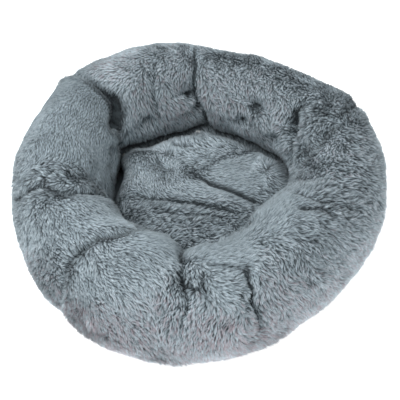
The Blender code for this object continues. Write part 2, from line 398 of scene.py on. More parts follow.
CREASES = (
    # seam between the back and the left lobe, overlapped by the left lobe
    (((138, 30), (138, 71), (138, 93), (137, 114), (140, 136), (145, 160), (147, 225)), 0.021, 0.010, 0.0040),
    (((138, 60), (138, 93), (137, 114), (140, 136), (145, 160), (147, 200)), 0.012, 0.0045, 0.0035),
    (((136, 96), (134, 114), (136, 136), (141, 160), (143, 205)), 0.012, 0.0055, 0.0040),
    (((109, 90), (114, 119), (116, 134), (116, 158)), 0.005, 0.006, 0.008),
    # left seam
    (((184, 10), (191, 42), (193, 63), (195, 79), (201, 88), (203, 99), (204, 118), (200, 140), (190, 185)),
     0.008, 0.006, 0.009),
    (((196, 70), (192, 84), (188, 96)), 0.004, 0.005, 0.005),
    # front-left seam
    (((226, -40), (226, 0), (227, 25), (226, 42), (226, 61), (228, 75), (229, 88), (233, 98), (236, 107),
      (239, 118), (242, 150)), 0.014, 0.007, 0.0038),
    # two puckered seams of the closing panel
    (((262, 140), (262, 112), (264, 94), (264, 84), (265, 74), (267, 65), (267, 55), (264, 20)),
     0.006, 0.004, 0.007),
    (((263, 92), (264, 84), (265, 76), (265, 71)), 0.013, 0.004, 0.004),
    (((265, 74), (268, 74), (271, 74)), 0.007, 0.003, 0.003),
    (((271, 91), (271, 79), (272, 68), (272, 62)), 0.006, 0.004, 0.004),
    (((267, 59), (260, 48), (257, 39)), 0.004, 0.004, 0.004),
    (((272, 92), (278, 90), (282, 88), (286, 85)), 0.004, 0.004, 0.004),
    (((285, 90), (286, 85), (287, 79), (287, 73), (288, 64), (287, 55), (288, 35), (289, 0)),
     0.012, 0.005, 0.007),
    (((282, 68), (283, 63), (285, 53), (284, 42)), 0.007, 0.003, 0.004),
    (((304, 61), (306, 53), (308, 42)), 0.004, 0.004, 0.004),
    (((295, 106), (295, 101), (297, 95)), 0.004, 0.003, 0.004),
    # soft seam at the right, and the folds beside it
    (((327, 122), (327, 110), (328, 100), (330, 94), (332, 85), (338, 60)), 0.007, 0.007, 0.005),
    (((317, 109), (321, 101), (325, 95), (326, 89), (326, 81)), 0.009, 0.005, 0.005),
    (((340, 128), (342, 114), (343, 102)), 0.004, 0.005, 0.005),
    # the fold beside the right-hand seam: two arms of a V that meets at the pad
    (((8, 225), (4, 190), (3, 160), (359, 144), (2, 135), (5, 118), (11, 104), (13, 95), (12, 87)),
     0.019, 0.014, 0.006),
    (((10, 220), (8, 185), (8, 161), (20, 155), (25, 143), (31, 130), (35, 112), (32, 90)),
     0.015, 0.006, 0.010),
    (((30, 0), (28, 40), (22, 70), (14, 88)), 0.006, 0.008, 0.008),
    # back seam
    (((91, 60), (91, 85), (91, 102), (92, 115), (92, 135), (88, 168), (85, 220)), 0.008, 0.007, 0.007),
    # the foot of the wall, pressed back by the pad
    (((-15, 200), (20, 201), (50, 201), (80, 201), (110, 201), (140, 200), (170, 200)), 0.012, 0.030, 0.030),
    (((56, 149), (54, 155), (53, 162)), 0.004, 0.004, 0.004),
)
CREASE_STEP = 0.002
CREASE_TAPER = 0.18  # share of a crease's length over which it fades at each end
CREASE_WANDER = (0.25, 0.02)  # how unevenly it pulls along its length, and over what distance
CREASE_SECTION = 1.6  # 2 is a soft bell, 1 a sharp valley
PATH_SOFTENED = 6
RING_LUMPS = ((0.0018, 0.045, 71), (0.0009, 0.018, 72))
DEEPEST = 0.026
PARTING = 0.008  # how far from a deep crease its strands still lean away from it
LEANS_OVER = 0.35  # how far strands are turned back even when they don't lean over the crease
TIGHT = 0.0024  # least half width of a crease's bottom, where its pile is shortened and painted with shade
DARK_SHARE = 0.34  # half width of that shortened, shade-painted bottom against the depth of a crease
FULLY_DARK = 0.010  # from this depth on a crease is bare in its bottom, fully painted with shade there, and parts the fur fully
LOWEST_CLOTH = 0.0035  # the backing stays this far off the floor
CREASE_REACH = 0.04  # a crease moves nothing beyond this
AT_ONCE = 20000  # points measured against a crease at one time


def on_grid(points, azimuth, angle):
    """The point of the ring's form at this azimuth and section angle."""
    order = np.append(azimuths, azimuths[0] + 2 * pi)
    place = np.interp((azimuth - azimuths[0]) % (2 * pi) + azimuths[0], order, np.arange(len(order)))
    row = (angle - FOOT) / ROW_STEP
    c, r = int(place), int(row)
    share_c, share_r = place - c, row - r
    n, m = len(azimuths), ALL_ROWS
    near = points[c % n, r % m] * (1 - share_r) + points[c % n, (r + 1) % m] * share_r
    far = points[(c + 1) % n, r % m] * (1 - share_r) + points[(c + 1) % n, (r + 1) % m] * share_r
    return near * (1 - share_c) + far * share_c


def run_of(corners, at, wander_seed):
    """Even points along a path through these corners, on the surface that at() gives."""
    corners = np.array(corners, float)
    rough = np.array([at(*corner) for corner in corners])
    places = np.concatenate([[0], np.cumsum(np.linalg.norm(np.diff(rough, axis=0), axis=1))])
    count = max(4, int(places[-1] / CREASE_STEP))
    even = np.linspace(0, places[-1], count)
    params = np.stack([np.interp(even, places, corners[:, k]) for k in range(2)], -1)
    for _ in range(PATH_SOFTENED):
        params[1:-1] = (params[:-2] + 2 * params[1:-1] + params[2:]) / 4
    path = np.array([at(*param) for param in params])
    share = even / places[-1]
    strength = np.clip(np.minimum(share, 1 - share) / CREASE_TAPER, 0, 1) ** 0.7
    strength *= 1 + blotches(path, (*CREASE_WANDER, wander_seed))
    return path, strength


def beside_path(points, path, reach):
    """The points near a path, some at a time: which, the path's nearest place, the way and the distance."""
    low, high = path.min(0) - reach, path.max(0) + reach
    near = np.where(((points > low) & (points < high)).all(1))[0]
    for part in np.array_split(near, max(1, len(near) // AT_ONCE)):
        away = points[part, None, :] - path[None, :, :]
        distance = np.linalg.norm(away, axis=2)
        nearest = distance.argmin(1)
        closest = np.arange(len(part)), nearest
        yield part, nearest, away[closest], distance[closest]


def crease_effect(points, outwards, path, strength, left, right):
    """How strongly a crease acts on each point, from 0 to 1."""
    effect = np.zeros(len(points))
    ahead = unit(np.gradient(path, axis=0))
    for part, nearest, offset, distance in beside_path(points, path, CREASE_REACH):
        side = np.einsum("ij,ij->i", np.cross(outwards[part], ahead[nearest]), offset)
        closeness = distance / np.where(side > 0, left, right)
        effect[part] = np.exp(-(closeness**CREASE_SECTION)) * strength[nearest]
    return effect


def parting(points, outwards, path, strength):
    """Towards the crease, along the cloth, as long as the fur there is held open by it."""
    pull = np.zeros((len(points), 3))
    for part, nearest, offset, distance in beside_path(points, path, 2 * PARTING):
        towards = unit(outwards[part] * (offset * outwards[part]).sum(1)[:, None] - offset)
        opened = np.exp(-((distance / PARTING) ** 2)) * np.clip(strength[nearest], 0, 1)
        pull[part] = towards * opened[:, None]
    return pull


def part_nap(nap, pull):
    """Turns strands that lean over a crease back to its own side, as far as the pull is strong."""
    share = np.linalg.norm(pull, axis=1)
    towards = unit(pull)
    over_crease = np.maximum((nap * towards).sum(1) + LEANS_OVER, 0) * share
    return unit(nap - towards * over_crease[:, None])


def lay_creases(creases, points, outwards, at, seed, dark_share, fully_dark):
    """How far creases draw each point in, how deep in one it is (0 to 1, later used to shorten the pile and
    paint shade into it), and how they part the fur.
    """
    drawn_in = np.zeros(len(points))
    deep_in = np.zeros(len(points))
    part_pull = np.zeros((len(points), 3))
    for number, (corners, depth, left, right) in enumerate(creases):
        path, strength = run_of(corners, at, seed + number)
        drawn_in += depth * crease_effect(points, outwards, path, strength, left, right)
        # the dark bottom: where the pile is later shortened and painted with shade
        dark = max(TIGHT, dark_share * depth)
        tight = crease_effect(points, outwards, path, strength, min(left, dark), min(right, dark))
        hard = min(1.0, depth / fully_dark)
        deep_in = np.maximum(deep_in, tight * hard)
        pull = parting(points, outwards, path, strength * hard)
        stronger = np.linalg.norm(pull, axis=1) > np.linalg.norm(part_pull, axis=1)
        part_pull[stronger] = pull[stronger]
    return drawn_in, deep_in, part_pull


def on_ring(azimuth, angle):
    return on_grid(form, radians(azimuth), radians(angle))


shape = form.shape[:2]
flat_points, flat_out = form.reshape(-1, 3), grid_frame(form)[2].reshape(-1, 3)
drawn_in, creased, crease_pull = lay_creases(
    CREASES, flat_points, flat_out, on_ring, 0, DARK_SHARE, FULLY_DARK
)
lumps = blotches(flat_points, *RING_LUMPS)
form = (flat_points - flat_out * (np.minimum(drawn_in, DEEPEST) - lumps)[:, None]).reshape(*shape, 3)
form[..., 2] = np.maximum(form[..., 2], LOWEST_CLOTH)
creased = creased.reshape(shape)
crease_pull = crease_pull.reshape(*shape, 3)

# ---------------------------------------------------------------------------
# Filling of the ring.
# Loose hollow fibre that takes the shape of the cover round it, creases and all.
# ---------------------------------------------------------------------------

FILLING_DEPTH = 0.005
FOLD_COLUMNS = 8  # how many columns or rows a fold spans
WOOL_SOFTENED = 4
WOOL_EVERY = 3  # the filling takes one column in three, and one row


def grid_mesh(name, points, close_columns, close_rows):
    """A mesh of quads over a grid of points, facing outwards."""
    columns, rows = points.shape[:2]
    index = np.arange(columns * rows).reshape(columns, rows)
    next_column = np.roll(index, -1, 0) if close_columns else index[1:]
    here = index if close_columns else index[:-1]
    if close_rows:
        quads = [here, np.roll(here, -1, 1), np.roll(next_column, -1, 1), next_column]
    else:
        quads = [here[:, :-1], here[:, 1:], next_column[:, 1:], next_column[:, :-1]]
    faces = np.stack([q.reshape(-1) for q in quads], -1)
    mesh = bpy.data.meshes.new(name)
    mesh.vertices.add(columns * rows)
    mesh.vertices.foreach_set("co", points.reshape(-1).astype(np.float32))
    mesh.loops.add(faces.size)
    mesh.loops.foreach_set("vertex_index", faces[:, ::-1].reshape(-1).astype(np.int32))
    mesh.polygons.add(len(faces))
    mesh.polygons.foreach_set("loop_start", np.arange(0, faces.size, 4, dtype=np.int32))
    mesh.polygons.foreach_set("loop_total", np.full(len(faces), 4, np.int32))
    mesh.update(calc_edges=True)
    mesh.validate()
    mesh.shade_smooth()
    return mesh


plan_reach = np.hypot(form[..., 0] - middle[0], form[..., 1] - middle[1])
wool_reach = np.hypot(plan_reach - TUBE_RADIUS, form[..., 2] - TUBE_LEVEL)
for axis in (0, 1):  # it can't fill the bottom of a sharp fold
    near = [np.roll(wool_reach, shift, axis) for shift in range(-FOLD_COLUMNS, FOLD_COLUMNS + 1)]
    wool_reach = np.min(near, axis=0)
wool = grid_points(soften(wool_reach, WOOL_SOFTENED) - FILLING_DEPTH, azimuths, angles)
wool[..., 2] = np.maximum(wool[..., 2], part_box("bolster_filling")[0].z)
wool_mesh = grid_mesh("ring_filling", wool[::WOOL_EVERY, ::WOOL_EVERY], True, True)
filling = add_piece("ring_filling", wool_mesh, hollow_fibre, "bed_body", ["bolster_filling"])

# ---------------------------------------------------------------------------
# Seam threads of the ring.
# One line of strong thread down each seam, pulled down into it, from the outer foot to the inner.
# ---------------------------------------------------------------------------

THREAD_THICKNESS = 0.0016
THREAD_DEPTH = 0.0008


def finished(data, dress=None):
    """A plain mesh of this curve or mesh, after the modifiers that dress() gives it."""
    carrier = bpy.data.objects.new("carrier", data)
    bpy.context.scene.collection.objects.link(carrier)
    if dress:
        dress(carrier)
    mesh = bpy.data.meshes.new_from_object(carrier.evaluated_get(bpy.context.evaluated_depsgraph_get()))
    bpy.data.objects.remove(carrier)
    return mesh


def thread_run(name, points, closed, body, node):
    """A thread along these points, as a tube of six sides."""
    run = bpy.data.curves.new(name, "CURVE")
    run.dimensions = "3D"
    run.bevel_depth = THREAD_THICKNESS / 2
    run.bevel_resolution = 1
    run.use_fill_caps = not closed
    line = run.splines.new("POLY")
    line.points.add(len(points) - 1)
    weighted = np.append(points, np.ones((len(points), 1)), 1)
    line.points.foreach_set("co", weighted.reshape(-1).astype(np.float32))
    line.use_cyclic_u = closed
    add_piece(name, finished(run), sewing_thread, body, [node])


laid_in = form - grid_frame(form)[2] * THREAD_DEPTH
for panel, (start, _) in enumerate(panel_columns):
    seam = laid_in[start, 2 : COVER_ROWS - 1]
    thread_run(f"seam_stitches_{panel + 1}", seam, False, "bed_body", f"panel_seam_thread_{panel + 1}")

# ---------------------------------------------------------------------------
# Ring panels.
# Eight pieces of fur fabric. Each has a knitted backing, sewn seam to seam and foot to foot, and
# a dense pile of soft strands that lies the way it was last stroked.
# ---------------------------------------------------------------------------

BACKING_THICKNESS = 0.002

# the knit is dark like the pile's roots: the backing's own knit, darkened as painted shade under the pile
knit = ((0.030, 0.040, 0.046), (0.075, 0.095, 0.105))
backing = woven("plush_backing", 0.95, 0.0, knit, 700.0, 0.0005, 1.0)

FOOT_TONES = (  # how light the pile is that points down at the foot of the ring, by azimuth; the light tones at the front take the painted lilac light of the low front
    (15, 0.60), (45, 0.60), (75, 0.60), (105, 0.60), (135, 0.60), (165, 0.60), (192, 0.66),
    (220, 0.86), (248, 0.92), (276, 0.92), (304, 0.90), (332, 0.80),
)

# How the pile was stroked: (azimuth, section angle), how far the patch spreads, which way the
# tips point (0 round the ring anticlockwise, 90 over the crest towards the nest), how far the
# tips reach along the cloth and stand off it, how tousled they are, and how light: the pile's tone, partly
# painted light and shade set patch by patch, above about 0.8 the painted lilac light of the low front.
STROKED = (
    ((163, 80), 0.050, 0, 0.0077, 0.0028, 0.10, 0.50),
    ((160, 120), 0.035, 10, 0.0077, 0.0028, 0.10, 0.52),
    ((172, 35), 0.035, -35, 0.0063, 0.0056, 0.75, 0.58),
    ((165, 0), 0.035, -10, 0.0063, 0.0056, 0.75, 0.60),
    ((196, 80), 0.028, -70, 0.0049, 0.0055, 0.90, 0.46),
    ((196, 30), 0.030, -20, 0.0056, 0.0056, 0.75, 0.58),
    ((210, 60), 0.040, -5, 0.0070, 0.0037, 0.35, 0.53),
    ((212, 105), 0.035, 0, 0.0070, 0.0032, 0.25, 0.56),
    ((214, 10), 0.040, 20, 0.0063, 0.0066, 0.90, 0.80),
    ((243, 60), 0.040, -20, 0.0070, 0.0037, 0.40, 0.55),
    ((248, 112), 0.030, -10, 0.0074, 0.0029, 0.15, 0.50),
    ((245, 15), 0.045, 0, 0.0063, 0.0056, 0.85, 0.92),
    ((265, 75), 0.018, -80, 0.0049, 0.0055, 0.80, 0.50),
    ((276, 72), 0.022, 0, 0.0063, 0.0042, 0.45, 0.54),
    ((268, 30), 0.045, 225, 0.0060, 0.0056, 0.95, 0.92),
    ((280, 110), 0.025, 0, 0.0070, 0.0032, 0.20, 0.49),
    ((310, 112), 0.030, -25, 0.0074, 0.0031, 0.20, 0.54),
    ((312, 68), 0.045, -95, 0.0056, 0.0053, 0.80, 0.60),
    ((308, 15), 0.050, -60, 0.0056, 0.0056, 0.90, 0.88),
    ((335, 90), 0.030, -60, 0.0053, 0.0055, 0.90, 0.58),
    ((350, 60), 0.045, -80, 0.0053, 0.0055, 0.90, 0.60),
    ((0, 100), 0.035, 180, 0.0056, 0.0050, 0.75, 0.62),
    ((5, 25), 0.045, -100, 0.0060, 0.0056, 0.75, 0.62),
    ((20, 75), 0.030, 150, 0.0049, 0.0057, 0.95, 0.58),
    ((45, 70), 0.040, 110, 0.0060, 0.0048, 0.65, 0.58),
    ((70, 75), 0.040, 75, 0.0063, 0.0045, 0.55, 0.62),
    ((60, 125), 0.040, 150, 0.0063, 0.0046, 0.65, 0.74),
    ((30, 135), 0.030, 100, 0.0063, 0.0048, 0.75, 0.69),
    ((100, 80), 0.035, 40, 0.0067, 0.0042, 0.35, 0.75),
    ((122, 85), 0.030, 20, 0.0067, 0.0042, 0.30, 0.75),
    ((112, 110), 0.025, 60, 0.0053, 0.0055, 0.85, 0.66),
    ((110, 140), 0.035, 95, 0.0063, 0.0048, 0.70, 0.76),
    ((6, 122), 0.016, 170, 0.0075, 0.0035, 0.20, 0.70),
    ((2, 100), 0.018, 170, 0.0075, 0.0035, 0.30, 0.66),
    *(((azimuth, -52), 0.028, -90, 0.0085, 0.0030, 0.50, tone) for azimuth, tone in FOOT_TONES),
    ((236, -35), 0.035, 0, 0.0066, 0.0072, 0.95, 0.95),
    ((262, -30), 0.040, 10, 0.0066, 0.0072, 0.95, 0.95),
    ((290, -30), 0.040, -20, 0.0066, 0.0066, 0.90, 0.96),
    ((318, -30), 0.040, -40, 0.0066, 0.0056, 0.75, 0.92),
    ((345, -30), 0.040, -60, 0.0066, 0.0056, 0.75, 0.84),
    ((80, 140), 0.035, 120, 0.0063, 0.0048, 0.70, 0.76),
    ((118, 10), 0.035, -25, 0.0066, 0.0052, 0.65, 0.60),
    ((122, -25), 0.030, -55, 0.0072, 0.0046, 0.60, 0.60),
    ((145, -25), 0.030, -50, 0.0072, 0.0046, 0.60, 0.60),
    ((168, -25), 0.030, -50, 0.0072, 0.0046, 0.60, 0.60),
    ((190, -25), 0.030, -50, 0.0072, 0.0046, 0.60, 0.64),
    ((210, -28), 0.026, -40, 0.0072, 0.0046, 0.60, 0.80),
    ((26, -25), 0.030, -95, 0.0072, 0.0046, 0.60, 0.60),
    ((46, 28), 0.028, 55, 0.0066, 0.0050, 0.65, 0.60),
    ((48, -4), 0.028, -15, 0.0066, 0.0050, 0.65, 0.60),
    ((48, -30), 0.026, -60, 0.0072, 0.0046, 0.60, 0.60),
    ((72, 28), 0.030, 35, 0.0066, 0.0050, 0.65, 0.60),
    ((74, -4), 0.030, -20, 0.0066, 0.0050, 0.65, 0.60),
    ((74, -30), 0.028, -60, 0.0072, 0.0046, 0.60, 0.60),
    ((97, 28), 0.030, 5, 0.0066, 0.0050, 0.65, 0.60),
    ((98, -12), 0.032, -40, 0.0070, 0.0048, 0.60, 0.60),
)
STRANDS_PER_PIECE = 60000
CREASE_PAINTED_SHADE = 1.00  # painted shade: how much darker the pile is painted in the bottom of a crease
CREASED_SHORT = 0.70  # share of its height that the pile loses in the bottom of a crease
UNSTROKED = (0.009, 0.0045, 0.5, 0.55)  # reach, rise, tousle and tone far from any patch
UNSTROKED_WEIGHT = 0.02
NAP_SWAY = (0.25, 0.35)  # how far the nap swings where it was stroked flat, and more where tousled
TUFT_SWAY = 0.8  # how far tousled tufts swing by themselves
STRETCH = (0.95, 0.16, 0.14)  # a strand's length: mean, change by tuft, change of its own
TUFT_LIFT = 0.45
TUFT_ASIDE = 0.75
STRAY = 0.10
UNEVEN_SHADE = (0.06, 0.24)  # how tufts differ in shade where stroked flat, and more where tousled
PARTED = (0.42, 1.4)  # how far from its middle a tuft parts from the next, and how much painted shade darkens it there
OWN_SHADE = 0.05
ROUND_SHADE = 0.04
MAP_EDGE = 0.03
RING_SHADE = (0.06, 0.05, 31)


def stroked_field(points, round_ring, over, stroked, at):
    """Nap, height, tousle and tone of the pile at each point, blended from the stroked patches."""
    total = np.full(len(points), UNSTROKED_WEIGHT)
    turn = np.zeros((len(points), 2))
    facts = np.tile(np.array(UNSTROKED) * UNSTROKED_WEIGHT, (len(points), 1))
    for place, spread, direction, *values in stroked:
        heart = at(*place)
        weight = np.exp(-(((points - heart) ** 2).sum(1)) / spread**2)
        total += weight
        turn += weight[:, None] * (cos(radians(direction)), sin(radians(direction)))
        facts += weight[:, None] * np.array(values)
    facts /= total[:, None]
    heading = np.arctan2(turn[:, 1], turn[:, 0])
    tousle = facts[:, 2]
    sway = (NAP_SWAY[0] + NAP_SWAY[1] * tousle) * mottle(points, 0.030, 11)
    heading += sway + TUFT_SWAY * tousle * mottle(points, 0.010, 12)
    nap = round_ring * np.cos(heading)[:, None] + over * np.sin(heading)[:, None]
    return nap, facts[:, 0], facts[:, 1], tousle, facts[:, 3]


def set_attribute(mesh, name, kind, values):
    attribute = mesh.attributes.new(name, kind, "POINT")
    attribute.data.foreach_set(
        "vector" if kind == "FLOAT_VECTOR" else "value", np.ascontiguousarray(values, np.float32).reshape(-1)
    )


def vector_node(tree, operation, *sources, scale=None):
    sources = dict(enumerate(sources))
    if scale is not None:
        sources["Scale"] = scale
    made = wire(tree, "ShaderNodeVectorMath", sources, operation=operation)
    return made.outputs["Value" if operation in ("DOT_PRODUCT", "LENGTH") else "Vector"]


def named(tree, name, kind="FLOAT"):
    return wire(tree, "GeometryNodeInputNamedAttribute", {"Name": name}, data_type=kind).outputs["Attribute"]


def store(tree, geometry, name, value, kind="FLOAT", domain="POINT"):
    made = wire(
        tree, "GeometryNodeStoreNamedAttribute", {"Geometry": geometry, "Name": name, "Value": value},
        data_type=kind, domain=domain,
    )
    return made.outputs[0]


def pile_tree():
    """Geometry nodes that grow the pile: tapered strands that gather into soft tufts."""
    tree = bpy.data.node_groups.new("fur_pile", "GeometryNodeTree")
    sockets = (
        ("Cloth", "NodeSocketGeometry", None),
        ("Strands per Square Metre", "NodeSocketFloat", 1.2e6),
        ("Strand Width", "NodeSocketFloat", 0.00085),
        ("Tuft Size", "NodeSocketFloat", 0.0024),
        ("Gather", "NodeSocketFloat", 0.75),
        ("Lowest Tip", "NodeSocketFloat", 0.0015),
        ("Roundness", "NodeSocketFloat", 0.35),
        ("Seed", "NodeSocketInt", 0),
        ("Finish", "NodeSocketMaterial", None),
    )
    for label, kind, value in sockets:
        socket = tree.interface.new_socket(label, in_out="INPUT", socket_type=kind)
        if value is not None:
            socket.default_value = value
    tree.interface.new_socket("Pile", in_out="OUTPUT", socket_type="NodeSocketGeometry")
    given = tree.nodes.new("NodeGroupInput").outputs
    out = tree.nodes.new("NodeGroupOutput")

    roots = wire(
        tree, "GeometryNodeDistributePointsOnFaces",
        {"Mesh": given["Cloth"], "Density": given["Strands per Square Metre"], "Seed": given["Seed"]},
        distribute_method="RANDOM",
    )
    place = tree.nodes.new("GeometryNodeInputPosition").outputs[0]
    normal = roots.outputs["Normal"]
    nap = named(tree, "nap", "FLOAT_VECTOR")
    rise, tousle, tone = named(tree, "rise"), named(tree, "tousle"), named(tree, "tone")

    # the strands of one tuft lean in to its middle
    tuft = wire(
        tree, "ShaderNodeTexVoronoi",
        {"Vector": place, "Scale": math_node(tree, "DIVIDE", 1.0, given["Tuft Size"]), "Randomness": 1.0},
        voronoi_dimensions="3D", feature="F1",
    )
    chance = vector_node(tree, "MULTIPLY_ADD", tuft.outputs["Color"], (2, 2, 2), (-1, -1, -1))
    towards = vector_node(tree, "SUBTRACT", tuft.outputs["Position"], place)
    off_cloth = vector_node(tree, "SCALE", normal, scale=vector_node(tree, "DOT_PRODUCT", towards, normal))
    gather = vector_node(
        tree, "SCALE", vector_node(tree, "SUBTRACT", towards, off_cloth), scale=given["Gather"]
    )
    length = vector_node(tree, "LENGTH", nap)
    strand = wire(
        tree, "FunctionNodeRandomValue", {"Min": (-1, -1, -1), "Max": (1, 1, 1), "Seed": given["Seed"]},
        data_type="FLOAT_VECTOR",
    ).outputs[0]
    split = wire(tree, "ShaderNodeSeparateXYZ", {0: chance}).outputs
    own = wire(tree, "ShaderNodeSeparateXYZ", {0: strand}).outputs
    stretch = math_node(tree, "MULTIPLY_ADD", split["X"], STRETCH[1], STRETCH[0])
    stretch = math_node(tree, "MULTIPLY_ADD", own["X"], STRETCH[2], stretch)
    lift = math_node(tree, "MULTIPLY_ADD", math_node(tree, "MULTIPLY", split["Y"], tousle), TUFT_LIFT, 1.0)
    aside = vector_node(
        tree, "SCALE", vector_node(tree, "CROSS_PRODUCT", nap, normal),
        scale=math_node(tree, "MULTIPLY", math_node(tree, "MULTIPLY", split["Z"], TUFT_ASIDE), tousle),
    )
    stray = vector_node(tree, "SCALE", strand, scale=math_node(tree, "MULTIPLY", length, STRAY))
    along = vector_node(tree, "SCALE", nap, scale=stretch)
    up = vector_node(tree, "SCALE", normal, scale=math_node(tree, "MULTIPLY", rise, lift))
    tip = place
    for part in (gather, along, up, aside, stray):
        tip = vector_node(tree, "ADD", tip, part)
    parts = wire(tree, "ShaderNodeSeparateXYZ", {0: tip}).outputs
    kept_up = math_node(tree, "MAXIMUM", parts["Z"], given["Lowest Tip"])
    tip = wire(tree, "ShaderNodeCombineXYZ", {"X": parts["X"], "Y": parts["Y"], "Z": kept_up}).outputs[0]
    axis = vector_node(tree, "SUBTRACT", tip, place)
    turned = wire(tree, "FunctionNodeAlignRotationToVector", {"Vector": axis}, axis="Z").outputs[0]
    size = wire(
        tree, "ShaderNodeCombineXYZ",
        {"X": given["Strand Width"], "Y": given["Strand Width"], "Z": vector_node(tree, "LENGTH", axis)},
    ).outputs[0]

    # one strand: a three-sided spike, one unit long
    spike = wire(
        tree, "GeometryNodeMeshCone",
        {"Vertices": 3, "Side Segments": 1, "Radius Top": 0.0, "Radius Bottom": 0.5, "Depth": 1.0},
        fill_type="NONE",
    ).outputs[0]
    spot = wire(tree, "ShaderNodeSeparateXYZ", {0: place}).outputs
    spike = store(tree, spike, "along", spot["Z"])
    spike = store(tree, spike, "beside", spot["X"])

    # untidy tufts differ more in shade, and are painted darker where they part: painted shade in the gaps
    # between tufts
    uneven = math_node(tree, "MULTIPLY_ADD", tousle, UNEVEN_SHADE[1], UNEVEN_SHADE[0])
    painted_gap_shade = math_node(tree, "MINIMUM", math_node(tree, "SUBTRACT", PARTED[0], tuft.outputs["Distance"]), 0.0)
    painted_gap_shade = math_node(tree, "MULTIPLY", painted_gap_shade, tousle)
    shade = math_node(tree, "MULTIPLY_ADD", split["X"], uneven, tone)
    shade = math_node(tree, "MULTIPLY_ADD", painted_gap_shade, PARTED[1], shade)
    shade = math_node(tree, "MULTIPLY_ADD", own["Y"], OWN_SHADE, shade)
    roots = store(tree, roots.outputs["Points"], "shade", shade)
    roots = store(tree, roots, "cloth_normal", normal, "FLOAT_VECTOR")
    planted = wire(
        tree, "GeometryNodeInstanceOnPoints",
        {"Points": roots, "Instance": spike, "Rotation": turned, "Scale": size},
    ).outputs[0]
    pile = wire(tree, "GeometryNodeRealizeInstances", {0: planted}).outputs[0]

    # tone across the map, root to tip up it
    across = math_node(tree, "MULTIPLY_ADD", named(tree, "beside"), ROUND_SHADE, named(tree, "shade"))
    across = math_node(tree, "MAXIMUM", math_node(tree, "MINIMUM", across, 1 - MAP_EDGE), MAP_EDGE)
    where = wire(tree, "ShaderNodeCombineXYZ", {"X": across, "Y": named(tree, "along")}).outputs[0]
    pile = store(tree, pile, "OFBake", where, "FLOAT2", "CORNER")
    own_normal = tree.nodes.new("GeometryNodeInputNormal").outputs[0]
    soft = vector_node(
        tree, "ADD", named(tree, "cloth_normal", "FLOAT_VECTOR"),
        vector_node(tree, "SCALE", own_normal, scale=given["Roundness"]),
    )
    soft = vector_node(tree, "NORMALIZE", soft)
    pile = wire(tree, "GeometryNodeSetShadeSmooth", {"Geometry": pile}).outputs[0]
    pile = wire(
        tree, "GeometryNodeSetMeshNormal", {"Mesh": pile, "Custom Normal": soft}, mode="FREE", domain="POINT"
    ).outputs[0]
    for label in ("nap", "rise", "tousle", "tone", "along", "beside", "shade", "cloth_normal"):
        pile = wire(tree, "GeometryNodeRemoveAttribute", {"Geometry": pile, "Name": label}).outputs[0]
    pile = wire(tree, "GeometryNodeSetMaterial", {"Geometry": pile, "Material": given["Finish"]}).outputs[0]
    tree.links.new(pile, out.inputs[0])
    return tree


def creased_pile(nap, reach_out, rise, tone, pull, sunk):
    """Nap, rise and tone of the pile once creases part it, shorten it and paint shade into its tone."""
    shorter = 1 - CREASED_SHORT * sunk
    # the tone is lowered by painted shade in the bottoms of creases
    return part_nap(nap, pull) * (reach_out * shorter)[:, None], rise * shorter, tone - CREASE_PAINTED_SHADE * sunk


def grow_pile(name, cloth, nap, rise, tousle, tone, seed, body):
    """The pile of one piece of fur fabric, as a plain mesh, from its backing's points."""
    set_attribute(cloth, "nap", "FLOAT_VECTOR", nap)
    for fact, values in (("rise", rise), ("tousle", tousle), ("tone", tone)):
        set_attribute(cloth, fact, "FLOAT", values)
    area = sum(face.area for face in cloth.polygons)
    wanted = {"Strands per Square Metre": STRANDS_PER_PIECE / area, "Seed": seed, "Finish": plush}

    def dress(carrier):
        modifier = carrier.modifiers.new("pile", "NODES")
        modifier.node_group = fur_pile
        for item in fur_pile.interface.items_tree:
            if item.item_type == "SOCKET" and item.in_out == "INPUT" and item.name in wanted:
                modifier[item.identifier] = wanted[item.name]

    add_piece(name, finished(cloth, dress), plush, body)


# Plush: blue-grey strands with a soft silky sheen, painted dark at the root as shade deep in the pile, and
# paler to the tip.
plush, tree, shader = new_material("plush_pile", 0.85, sheen=0.05)
bake_map = wire(tree, "ShaderNodeUVMap", {}, uv_map="OFBake")
uv = wire(tree, "ShaderNodeSeparateXYZ", {0: bake_map.outputs[0]}).outputs
# across the map, the tone: its dark end is painted shade in creases and between tufts, its top the painted
# lilac light of the low front
hue = ramp(
    tree, uv["X"],
    [
        (0.0, (0.030, 0.038, 0.044)), (0.5, (0.400, 0.490, 0.540)), (0.77, (0.650, 0.755, 0.820)),
        (0.86, (0.340, 0.325, 0.360)), (1.0, (0.500, 0.445, 0.490)),  # painted light: the lilac cast that light from the bright floor throws on the low front
    ],
)
# up the map, root to tip: painted shade of the pile's depths, darkest at the root
depth = ramp(
    tree, uv["Y"],
    [(0.0, [0.10] * 3), (0.30, (0.40, 0.40, 0.41)), (0.60, [0.92] * 3), (1.0, [1.12] * 3)],
)
colour = wire(tree, "ShaderNodeMix", {0: 1.0, 6: hue, 7: depth}, data_type="RGBA", blend_type="MULTIPLY")
tree.links.new(colour.outputs[2], shader.inputs["Base Color"])

fur_pile = pile_tree()
covered = form[:, : COVER_ROWS + 1]
round_ring, over = [part[:, : COVER_ROWS + 1].reshape(-1, 3) for part in grid_frame(form)[:2]]
cover_points = covered.reshape(-1, 3)
nap, reach_out, rise, tousle, tone = stroked_field(cover_points, round_ring, over, STROKED, on_ring)
tone = tone + blotches(cover_points, RING_SHADE)
nap, rise, tone = creased_pile(
    nap, reach_out, rise, tone,
    crease_pull[:, : COVER_ROWS + 1].reshape(-1, 3), creased[:, : COVER_ROWS + 1].reshape(-1),
)
cover_shape = covered.shape[:2]
fields = [f.reshape(*cover_shape, *f.shape[1:]) for f in (nap, rise, tousle, tone)]


def panel_part(field, panel):
    start, count = panel_columns[panel]
    wanted = [(start + column) % len(azimuths) for column in range(count + 1)]
    return field[wanted]


